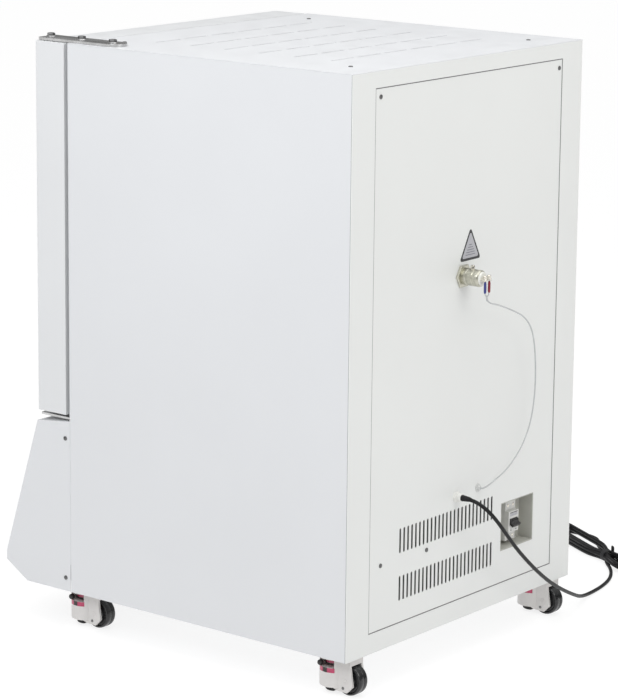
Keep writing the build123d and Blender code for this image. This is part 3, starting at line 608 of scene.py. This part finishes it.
def make_plug():
    """Round mains plug: a ribbed boot, a gripped body and two round pins."""
    start = (TIE - 250.0 * RUN + 18.7 * LIFT) * mm
    wave = ((0, 0), (1, 0.7), (2, 0.7))
    ribs = [(2 + 3 * k + step, 5.4 + 0.16 * (2 + 3 * k) + bulge) for k in range(8) for step, bulge in wave]
    boot = turned(
        "plug_boot", start, -RUN, [(0, 0), (0, 5), *ribs, (28, 11), (29, 0)], "cabinet", "cord_black",
        steps=32,
    )

    def grip(angle):
        """Round, with two flats for the fingers."""
        return 1 - 0.05 * np.clip(np.cos(2 * angle), 0, 1)

    body = turned(
        "plug_body", start, -RUN,
        [(26, 0), (26, 10), (28, 14), (31, 16.6), (36, 17.6), (40, 16.8), (43, 17.8), (46, 16.9), (49, 18),
         (54, 18.3), (60, 18.2), (62, 17.4), (62, 0)],
        "cabinet", "cord_black", outline=grip, steps=64,
    )
    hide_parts("power_plug")
    pins = []
    for label, side in (("left", -1), ("right", 1)):
        foot = start + side * 9.5 * mm * ACROSS
        profile = [(60, 0), (60, 2.4), (78, 2.4), (79.6, 2.0), (80.6, 1.0), (81, 0)]
        pins.append(turned(f"plug_pin_{label}", foot, -RUN, profile, "cabinet", "terminal_metal", steps=24))
    return [boot, body, *pins]


# ---------------------------------------------------------------- rear fittings
def make_glands():
    """Cable gland of the mains lead and the grommet of the sensor lead."""
    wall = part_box("rear_panel")[1].y
    at = np.array((GLAND[0] * mm, wall, GLAND[1] * mm))
    nut = turned(
        "gland_base_nut", at, AXES["Y"],
        [(-1, 0), (-1, 9.8), (0.4, 10.2), (5.2, 10.2), (6, 9.6), (6, 0)],
        "cabinet", "gland_white", outline=hex_outline, steps=96, crease=25,
    )
    turned(
        "gland_dome_nut", at, AXES["Y"],
        [(4, 0), (4, 8.6), (6.4, 8.6), (7, 9.0), (11, 9.0), (13.4, 8.2), (15, 6.9), (15.8, 5.6), (15.8, 0)],
        "cabinet", "gland_white", outline=lambda a: 1 + 0.022 * np.cos(12 * a), steps=96,
    )
    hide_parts("cable_glands")
    spot = np.array((GROMMET[0] * mm, wall, GROMMET[1] * mm))
    turned(
        "lead_grommet", spot, AXES["Y"],
        [(-1, 0), (-1, 8.2), (1.2, 8.5), (2.4, 8.0), (3.0, 5.6), (5.6, 4.9), (6.9, 4.0), (7.0, 0)],
        "cabinet", "gland_grey", steps=40,
    )


def screw_head(name, at, direction, radius, material="screw_steel", height=2.2, body="cabinet"):
    """A domed head with a cross cut in it: height = dome - cut where the cross runs, on a polar grid."""
    along, side, up = frame_of(direction)
    angle = np.arange(48) * (2 * math.pi / 48)
    rings = np.array([1.0, 1.0, 0.97, 0.86, 0.72, 0.58, 0.46, 0.34, 0.22, 0.1, 0.0])
    x = radius * rings[:, None] * np.cos(angle)
    y = radius * rings[:, None] * np.sin(angle)
    dome = height * (0.45 + 0.55 * np.sqrt(np.clip(1 - (rings * 0.98) ** 2, 0, 1)))
    high = np.repeat(dome[:, None], 48, 1)
    cross = ((abs(x) < 0.17 * radius) | (abs(y) < 0.17 * radius)) & (rings[:, None] < 0.62)
    high = np.where(cross, high - 0.4 * height, high)
    high[0] = -0.4
    points = np.asarray(at, float) + mm * (x[..., None] * side + y[..., None] * up + high[..., None] * along)
    return piece(name, points, grid_faces(len(rings), 48), body, material, 40)


def make_screws():
    """The screws of the panels: rear, console sides and top cover."""
    rear_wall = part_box("rear_panel")[1].y
    side_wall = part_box("side_panel_right")[1].x
    top_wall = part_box("top_cover")[1].z
    spots = [("rear", (x, None, z), "Y", 1) for x, z in REAR_SCREWS]
    spots += [("console", (None, y, z), "X", side) for side in (1, -1) for y, z in CONSOLE_SCREWS]
    spots += [("top", (x, y, None), "Z", 1) for x, y in TOP_SCREWS]
    for k, (group, spot, axis, side) in enumerate(spots):
        wall = {"Y": rear_wall, "X": side_wall * side, "Z": top_wall}[axis]
        at = [wall if c is None else c * mm for c in spot]
        direction = np.array(AXES[axis], float) * side
        screw_head(f"{group}_screw_{k + 1}", at, direction, 4.5)
    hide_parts("panel_screws")


def make_probe():
    """Sensor head: flanged body, clamp collar, ceramic cap, two terminals, and sleeved wires to the yoke."""
    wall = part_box("rear_panel")[1].y
    at = np.array((PROBE[0] * mm, wall, PROBE[1] * mm))
    flange = turned(
        "probe_flange", at, AXES["Y"],
        [(-0.5, 0), (-0.5, 21), (0.5, 22), (3.5, 22), (5, 20.6), (5, 0)],
        "cabinet", "probe_metal", outline=hex_outline, steps=96, crease=25,
    )
    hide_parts("probe_head")
    turned(
        "probe_body", at, AXES["Y"],
        [(4, 0), (4, 16), (5.5, 17), (15, 17), (16, 16.2), (17.2, 16.2), (18.2, 17), (30, 17),
         (31, 15.8), (32.2, 15.8), (33.2, 17), (43, 17), (45, 16), (46, 15), (46, 0)],
        "cabinet", "probe_metal", steps=64,
    )
    turned(
        "probe_cap", at, AXES["Y"], [(45, 0), (45, 14), (47.4, 14), (49, 13), (50, 11), (50, 0)],
        "cabinet", "ceramic", steps=48,
    )
    collar = at + np.array((0, 23 * mm, 17 * mm))
    turned(
        "probe_clamp_screw", collar, AXES["Z"], [(-3, 0), (-3, 4.3), (6, 4.3), (7.6, 3.6), (8, 0)], "cabinet",
        "terminal_metal", steps=32,
    )
    sheath = np.array((at[0], 0.3175, at[2]))
    turned(
        "probe_sheath", sheath, AXES["Y"], [(0, 0), (1, 3), (3, 4), (100, 4), (100, 0)], "cabinet",
        "probe_metal", steps=32,
    )
    for label, side, sleeve in (("near", 1, "sleeve_blue"), ("far", -1, "sleeve_red")):
        post = at + np.array((side * 7 * mm, 48 * mm, 0))
        turned(
            f"terminal_post_{label}", post, AXES["Y"],
            [(0, 0), (0, 3.2), (8, 3.2), (8.5, 4.3), (11, 4.3), (11.4, 3.2), (13, 3.2), (14.6, 2.4), (15, 0)],
            "cabinet", "terminal_metal", outline=lambda a: 1 + 0.04 * np.cos(10 * a), steps=60,
        )
        nut = post + np.array((0, 10.5 * mm, 6.5 * mm))
        turned(
            f"terminal_nut_{label}", nut, AXES["Z"], [(-9, 0), (-9, 3.4), (1, 3.4), (2, 2.6), (2.2, 0)],
            "cabinet", "terminal_metal", outline=hex_outline, steps=48, crease=25,
        )
        top = np.array((post[0], 484.5 * mm, 790 * mm))
        turned(
            f"lead_sleeve_{label}", top, (0, 0, -1),
            [(0, 0), (0, 1.8), (2, 2.4), (4, 2.7), (20, 2.7), (22.5, 2.1), (23.4, 1.3), (23.4, 0)],
            "cabinet", sleeve, steps=28,
        )
        steps = ((7, 767), (5.5, 763), (1.2, 758), (0.4, 750.5))
        wire = bend([(at[0] + side * out * mm, 0.4845, z * mm) for out, z in steps], 16)
        carried(f"lead_wire_{label}", wire, circle(1.05 * mm, 12), "cabinet", "lead_grey")


def make_label():
    """A plain triangular plate on the rear panel: black border, grey field and five unlettered bars."""
    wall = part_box("rear_panel")[1].y
    origin = np.array((LABEL[0] * mm, wall, LABEL[1] * mm))
    across, upward = (-1, 0, 0), (0, 0, 1)

    def triangle(base, tall, corner):
        ends = np.array(((base / 2 - corner, corner), (0, tall - 2.2 * corner), (-base / 2 + corner, corner)))
        arcs = [np.radians(a + (b - a) * np.linspace(0, 1, 6)) for a, b in ((-90, 25), (25, 155), (155, 270))]
        rows = [end + corner * np.stack([np.cos(arc), np.sin(arc)], -1) for end, arc in zip(ends, arcs)]
        return (np.vstack(rows) - (0, tall * 0.38)) * mm

    outline = triangle(*LABEL_SIZE, 4.0)
    layers = (
        ("label_border", 1.0, -0.0002, 0.0003, "label_black"),
        ("label_field", 0.80, -0.0001, 0.00042, "label_grey"),
    )
    for name, scale, under, over, material in layers:
        plate(name, origin, across, upward, outline * scale, [(under, 0), (over, 0)], "cabinet", material, 20)
    for k, wide in enumerate((11, 17, 23, 29, 33)):
        at = origin + np.array((0, 0, (6 - 5 * k) * mm))
        bar = rounded_outline(wide * mm, 1.7 * mm, 0.5 * mm, 3)
        plate(
            f"label_bar_{k + 1}", at, across, upward, bar, [(0, 0), (0.00052, 0)], "cabinet", "label_line",
            20,
        )


def make_breaker():
    """Miniature breaker in its recess, with clamping screws, two plain marking strips and rivets."""
    low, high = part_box("breaker_body")
    x = (low.x + high.x) / 2
    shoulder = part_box("breaker_recess")[0].y + 20 * mm
    softened("breaker_body", "breaker_white", 0.7)
    softened("breaker_toggle", "switch_black", 0.7)
    softened("breaker_recess", "recess_grey", 0.6)
    corners = [(side, z) for z in (low.z + 9 * mm, high.z - 9 * mm) for side in (-1, 1)]
    for k, (side, z) in enumerate(corners):
        screw_head(
            f"breaker_clamp_{k + 1}", (x + side * 9 * mm, shoulder - 0.2 * mm, z), AXES["Y"], 3.3,
            "terminal_metal", 0.9,
        )
    face = high.y
    strip = rounded_outline(27 * mm, 6 * mm, 0.6 * mm, 3)
    plate(
        "breaker_strip", (x, face, high.z - 27 * mm), (-1, 0, 0), (0, 0, 1), strip,
        [(-0.0001, 0), (0.0003, 0)], "cabinet", "label_grey", 20,
    )
    line = rounded_outline(27 * mm, 1.6 * mm, 0.4 * mm, 3)
    plate(
        "breaker_line", (x, face, high.z - 22.6 * mm), (-1, 0, 0), (0, 0, 1), line,
        [(-0.0001, 0), (0.0004, 0)], "cabinet", "marking_grey", 20,
    )
    for k, side in enumerate((-1, 1)):
        turned(
            f"breaker_rivet_{k + 1}", (x + side * 9 * mm, face, low.z + 24 * mm), AXES["Y"],
            [(-0.2, 0), (-0.2, 1.5), (0.3, 1.4), (0.5, 0)], "cabinet", "marking_grey", steps=20,
        )


# ---------------------------------------------------------------- door, hinges and console
def make_hinges():
    """Top hinge plate with its washers and hexagon bolts, and the lower bracket."""
    plate_low, plate_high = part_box("hinge_plate_upper")
    softened("hinge_plate_upper", "hinge_steel", 0.7)
    softened("hinge_bracket_lower", "hinge_steel", 0.6)
    x = (plate_low.x + plate_high.x) / 2
    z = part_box("top_cover")[1].z + 6 * mm
    for k, y in enumerate(HINGE_BOLTS):
        at = (x, y * mm, z)
        turned(
            f"hinge_washer_{k + 1}", at, AXES["Z"],
            [(-0.3, 0), (-0.3, 10.4), (0.8, 10.4), (1.4, 9.8), (1.4, 0)], "cabinet", "hinge_steel",
        )
        turned(
            f"hinge_bolt_{k + 1}", at, AXES["Z"],
            [(1, 0), (1, 7.3), (5.6, 7.3), (6.8, 6.6), (7.2, 5.2), (7.2, 0)],
            "cabinet", "screw_steel", outline=hex_outline, steps=96, crease=25,
        )


def make_gasket():
    """The door's seal: a ribbed strip carried round a rectangle with mitred corners."""
    low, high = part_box("door_gasket")
    depth = high.y - low.y
    inset = 16 * mm
    ribs = ((0, 0), (0, 0.30), (0.10, 0.36), (0.0, 0.44), (0.10, 0.52), (0.0, 0.60), (0.06, 0.96), (0.14, 1))
    strip = np.array([*ribs, *((1 - x, y) for x, y in reversed(ribs))])
    corners = [(low.x, low.z, 1, 1), (high.x, low.z, -1, 1), (high.x, high.z, -1, -1), (low.x, high.z, 1, -1)]
    rows = [
        np.stack(
            [x + sx * strip[:, 0] * inset, low.y + strip[:, 1] * depth, z + sz * strip[:, 0] * inset], -1,
        )
        for x, z, sx, sz in corners
    ]
    seal = piece(
        "door_seal", np.array(rows), grid_faces(4, len(strip), wrap_rows=True), "door", "gasket_rubber", 30,
    )
    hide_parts("door_gasket")


def make_handle():
    """Door handle: a round bar with domed ends on two flanged posts."""
    low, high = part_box("door_handle")
    x = (low.x + high.x) / 2
    bar_y = low.y + 9 * mm
    door_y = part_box("door_shell")[0].y
    length = (high.z - low.z) / mm
    end = [(0, 0), (0.3, 5), (1.4, 7.6), (3.4, 9), (8, 9), (8.6, 8.5), (9.4, 8.5), (10, 9)]
    bar = turned(
        "handle_bar", (x, bar_y, low.z), AXES["Z"],
        [*end, *((length - h, r) for h, r in reversed(end))],
        "door", "chamber_steel", steps=64,
    )
    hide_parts("door_handle")
    for label, z in (("lower", low.z + 30 * mm), ("upper", high.z - 30 * mm)):
        reach = (door_y - bar_y) / mm
        turned(
            f"handle_post_{label}", (x, bar_y, z), AXES["Y"],
            [
                (4, 0), (4, 7), (reach - 6, 7), (reach - 4.5, 8), (reach - 3.5, 11), (reach - 0.8, 11.6),
                (reach + 0.2, 11.6), (reach + 0.2, 0),
            ],
            "door", "chamber_steel", steps=48,
        )


def make_console():
    """Control panel with its dark display, keys with raised marks, and the rocker switch."""
    softened("console_cover", "cabinet_white", 1.4, 3)
    softened("control_panel", "panel_plastic", 0.9)
    for node in ("key_down", "key_up", "key_set"):
        softened(node, "key_plastic", 0.8, 3)
    softened("power_switch", "switch_black", 0.8, 3)
    lean = math.atan2(CONSOLE_RUN, CONSOLE_RISE)
    upward = np.array((0, math.sin(lean), math.cos(lean)))
    normal = np.array((0, -math.cos(lean), math.sin(lean)))
    centre = np.array(CONSOLE_PANEL)
    across = np.array((1.0, 0, 0))

    def spot(x, y, height):
        return (centre + x * across + y * upward + height * normal) * mm

    glass = rounded_outline(119 * mm, 59 * mm, 2 * mm)
    plate(
        "display_window", spot(-36, 22, 5.6), across, upward, glass, [(0, 0), (0.0012, 0), (0.0016, 0.0004)],
        "cabinet", "display_glass", 25,
    )
    ring = rounded_outline(126 * mm, 66 * mm, 4 * mm)
    inner = rounded_outline(118 * mm, 58 * mm, 2 * mm)
    rows = [(ring, 7.6), (ring * 0.99, 9.0), (inner, 9.0), (inner, 7.0)]
    points = [spot(-36, 22, high) + loop[:, :1] * across + loop[:, 1:] * upward for loop, high in rows]
    piece(
        "display_bezel", np.array(points), grid_faces(4, len(ring), wrap_rows=True), "cabinet",
        "switch_black", 30,
    )
    arrow = np.array(((-3.6, -2.4), (3.6, -2.4), (0, 3.4))) * mm
    plate(
        "key_up_mark", spot(-36, -38, 9.9), across, upward, arrow, [(0, 0), (0.0005, 0)], "up_key",
        "key_mark", 20,
    )
    plate(
        "key_down_mark", spot(-70, -38, 9.9), across, upward, -arrow, [(0, 0), (0.0005, 0)], "down_key",
        "key_mark", 20,
    )
    bar = rounded_outline(8 * mm, 2 * mm, 0.9 * mm, 4)
    plate(
        "key_set_mark", spot(-2, -38, 9.9), across, upward, bar, [(0, 0), (0.0005, 0)], "set_key", "key_mark",
        20,
    )
    lens = [(0, 0), (0, 2.6), (1.6, 2.6), (2.6, 1.6), (2.9, 0)]
    for k, (x, colour) in enumerate(((52, "sleeve_red"), (64, "gland_grey"), (76, "sleeve_blue"))):
        turned(f"status_lamp_{k + 1}", spot(x, 36, 7.0), normal, lens, "cabinet", colour, steps=24)


# ---------------------------------------------------------------- casters
def knurled(angle):
    """Thirty shallow waves round a dial."""
    return 1 - 0.035 * (0.5 + 0.5 * np.cos(30 * angle))


def cut_flat(angle):
    """Round, cut off flat 9/20 of the radius from the middle on the wheel's side."""
    return np.minimum(1, 9 / 20 / np.maximum(np.sin(angle), 1e-6))


def make_casters():
    """Per station: housing, ribbed wheel, knurled dial, levelling pad, dial window and lock, and rivets."""
    softened("caster_plates", "caster_housing", 0.6)
    for station in STATIONS:
        swivel, roller = f"swivel_{station}", f"wheel_{station}"
        softened(f"caster_fork_{station}", "caster_housing", 1.3, 3, 40)
        low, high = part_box(f"caster_wheel_{station}")
        hub = (low + high) / 2
        radius, wide = (high.z - low.z) / 2 / mm, (high.x - low.x) / mm
        start = np.array((low.x, hub.y, hub.z))
        tyre = [
            (3, 0), (3, 9), (1.2, 10), (1.2, 14), (3.0, 15.5), (3.0, radius - 7), (1.0, radius - 5.5),
            (0, radius - 4), (0.6, radius - 1.6), (2.6, radius - 0.3), (5, radius), (wide / 2 - 1, radius),
            (wide / 2, radius - 0.5),
        ]
        mirrored = [(wide - h, r) for h, r in reversed(tyre[:-1])]
        wheel = turned(
            f"wheel_tread_{station}", start, AXES["X"], tyre + mirrored, roller, "wheel_black", steps=72,
        )
        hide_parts(f"caster_wheel_{station}")

        low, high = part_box(f"caster_dial_{station}")
        seat = np.array(((low.x + high.x) / 2, (low.y + high.y) / 2, low.z))
        tall = (high.z - low.z) / mm
        rim = (high.x - low.x) / 2 / mm
        dial = turned(
            f"dial_ring_{station}", seat, AXES["Z"],
            [(0, 0), (0, rim - 1.2), (0.8, rim), (tall - 0.8, rim), (tall, rim - 1.2), (tall, 0)],
            f"dial_{station}", "dial_red", outline=knurled, steps=180, crease=50,
        )
        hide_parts(f"caster_dial_{station}")
        turned(
            f"dial_band_{station}", seat, AXES["Z"],
            [(0.6, 0), (0.6, rim + 0.25), (3.8, rim + 0.25), (3.8, 0)],
            f"dial_{station}", "dial_black", outline=knurled, steps=180, crease=50,
        )

        low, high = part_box(f"caster_foot_{station}")
        foot = np.array(((low.x + high.x) / 2, low.y + 20 * mm, low.z))
        pad = turned(
            f"foot_pad_{station}", foot, AXES["Z"],
            [(0, 0), (0, 18.4), (0.8, 19.4), (3, 20), (5.4, 19.6), (6.6, 17.4), (8, 16.8), (8, 0)],
            f"foot_{station}", "foot_black", outline=cut_flat, steps=96, crease=30,
        )
        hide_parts(f"caster_foot_{station}")
        stem_high = (high.z - low.z) / mm
        thread = [(7 + k * 0.8, 5.0 - 0.35 * (k % 2)) for k in range(int((stem_high - 8) / 0.8))]
        turned(
            f"foot_stem_{station}", foot, AXES["Z"], [(7, 0), *thread, (stem_high, 4.2), (stem_high, 0)],
            f"foot_{station}", "screw_steel", steps=32, crease=20,
        )

        for label, side in (("outer", 1), ("inner", -1)):
            middle = np.array((seat[0], seat[1], 0))
            wrap_round(
                f"window_frame_{label}_{station}", middle, side, (-36, 34), (45.5, 54.6), swivel, "dial_red",
            )
            wrap_round(
                f"window_band_{label}_{station}", middle, side, (-14, 6), (45.5, 54.8), swivel, "dial_black",
            )
            knob = middle + np.array((side * 24 * mm, -17 * mm, 61 * mm))
            turned(
                f"dial_lock_{label}_{station}", knob, np.array(AXES["X"]) * side,
                [(0, 0), (0, 5.6), (6, 5.6), (7.2, 4.8), (7.8, 3), (7.8, 0)], swivel, "dial_black", steps=48,
            )
            cheek = np.array((hub.x + side * 20.8 * mm, foot[1] + 35 * mm, 16.5 * mm))
            turned(
                f"cheek_rivet_{label}_{station}", cheek, np.array(AXES["X"]) * side,
                [(-0.4, 0), (-0.4, 3.2), (0.9, 3.0), (1.3, 2.0), (1.4, 0)], swivel, "screw_steel", steps=24,
            )
            cap = np.array((hub.x + side * 20.8 * mm, hub.y, hub.z))
            turned(
                f"axle_cap_{label}_{station}", cap, np.array(AXES["X"]) * side,
                [(-0.5, 0), (-0.5, 5.4), (0.5, 5.4), (1.1, 4.6), (1.1, 2.6), (0.5, 2.2), (0.5, 0)], swivel,
                "caster_housing", steps=32,
            )


def make_shade_strips_and_lips():
    """Dark strips in the gap round the rear panel and at the rear corners, painted shade of the gaps; a black
    sheet behind the vents, painted shade that makes the slots read dark; lips under the louvres.
    """
    low, high = (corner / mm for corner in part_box("rear_panel"))
    y, edge, lip = high.y, 1.3, 0.9
    x0, x1, z0, z1 = low.x - edge, high.x + edge, low.z - edge, high.z + edge
    ring = [
        ((x0, y - 1, z0), (x0 + edge + lip, y + 0.12, z1)),
        ((x1 - edge - lip, y - 1, z0), (x1, y + 0.12, z1)),
        ((x0 + edge + lip, y - 1, z0), (x1 - edge - lip, y + 0.12, z0 + edge + lip)),
        ((x0 + edge + lip, y - 1, z1 - edge - lip), (x1 - edge - lip, y + 0.12, z1)),
    ]
    # Dark strips round the rear panel: painted shade in the gap between the panel and its frame.
    bars("panel_gap_shade", ring, "cabinet", "gap_shade_grey")
    wall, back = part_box("side_panel_right")[1] / mm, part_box("rear_frame")[1].y / mm
    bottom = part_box("side_panel_right")[0].z / mm
    # Dark strips at the two rear corners: painted shade in the seam gaps there.
    corner_shade_strips = [
        ((side * (wall.x - 1), back - 2.1, bottom), (side * (wall.x + 0.08), back - 1.3, wall.z))
        for side in (1, -1)
    ]
    bars("corner_gap_shade", corner_shade_strips, "cabinet", "gap_shade_grey")
    ends = (VENTS_X - VENTS_HALF, VENTS_X + VENTS_HALF)
    # A black sheet just behind the vent slots: painted shade, so the slots read dark.
    vent_shade_bars = [((ends[0], low.y - 3, z2), (ends[1], low.y - 1, z3)) for z2, z3 in VENT_BANDS]
    bars("vent_shade_sheet", vent_shade_bars, "cabinet", "vent_shade_black")
    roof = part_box("top_cover")[1].z / mm
    lips = [((-LOUVRE_HALF, y - 6, roof - 4.2), (LOUVRE_HALF, y + 6, roof - 3.2)) for y in LOUVRE_ROWS]
    bars("louvre_lips", lips, "cabinet", "cabinet_white")


# ---------------------------------------------------------------- the whole object
def make_shell():
    """Sheet-metal shells with rounded edges, chamber, door leaf and frame."""
    edges = {
        "side_panel_right": ("cabinet_white", 0.7),
        "side_panel_left": ("cabinet_white", 0.7),
        # The rear frame and rear panel take the rear copy of the cabinet paint, lightened as painted light.
        "rear_frame": ("rear_lit_white", 0.7),
        "rear_panel": ("rear_lit_white", 0.5),
        "top_cover": ("cabinet_white", 0.7),
        "front_frame": ("cabinet_white", 0.5),
        "base_frame": ("frame_grey", 1.6),
        "chamber_liner": ("chamber_steel", 0.4),
        "shelf_rails": ("chamber_steel", 0.4),
        "shelves": ("chamber_steel", 0.4),
        "fan_duct": ("chamber_steel", 0.5),
        "door_shell": ("door_white", 0.7),
        "door_inner_panel": ("chamber_steel", 0.5),
    }
    for node, (material, width) in edges.items():
        softened(node, material, width)
    plain = {
        "insulation": "foam",
        "door_foam": "foam",
        "circulation_fan": "coil_metal",
        "fan_motor": "machine_black",
        "heater_element": "chamber_steel",
        "evaporator_coil": "coil_metal",
        "compressor": "machine_black",
        # The condenser's near-black is partly its own black paint and partly painted shade of the closed bay.
        "condenser_coil": "bay_black_and_shade",
        "condenser_fan": "bay_black_and_shade",
        "electronics_tray": "frame_grey",
    }
    for node, material in plain.items():
        for slot in range(len(nodes[node].material_slots)):
            nodes[node].material_slots[slot].material = finish_of[material]


set_camera()
set_light()
finish_of = finishes()
set_floor(finish_of["floor_white"])
make_leads()
make_glands()
make_screws()
make_probe()
make_label()
make_breaker()
make_hinges()
make_gasket()
make_handle()
make_console()
make_casters()
make_shade_strips_and_lips()
make_shell()
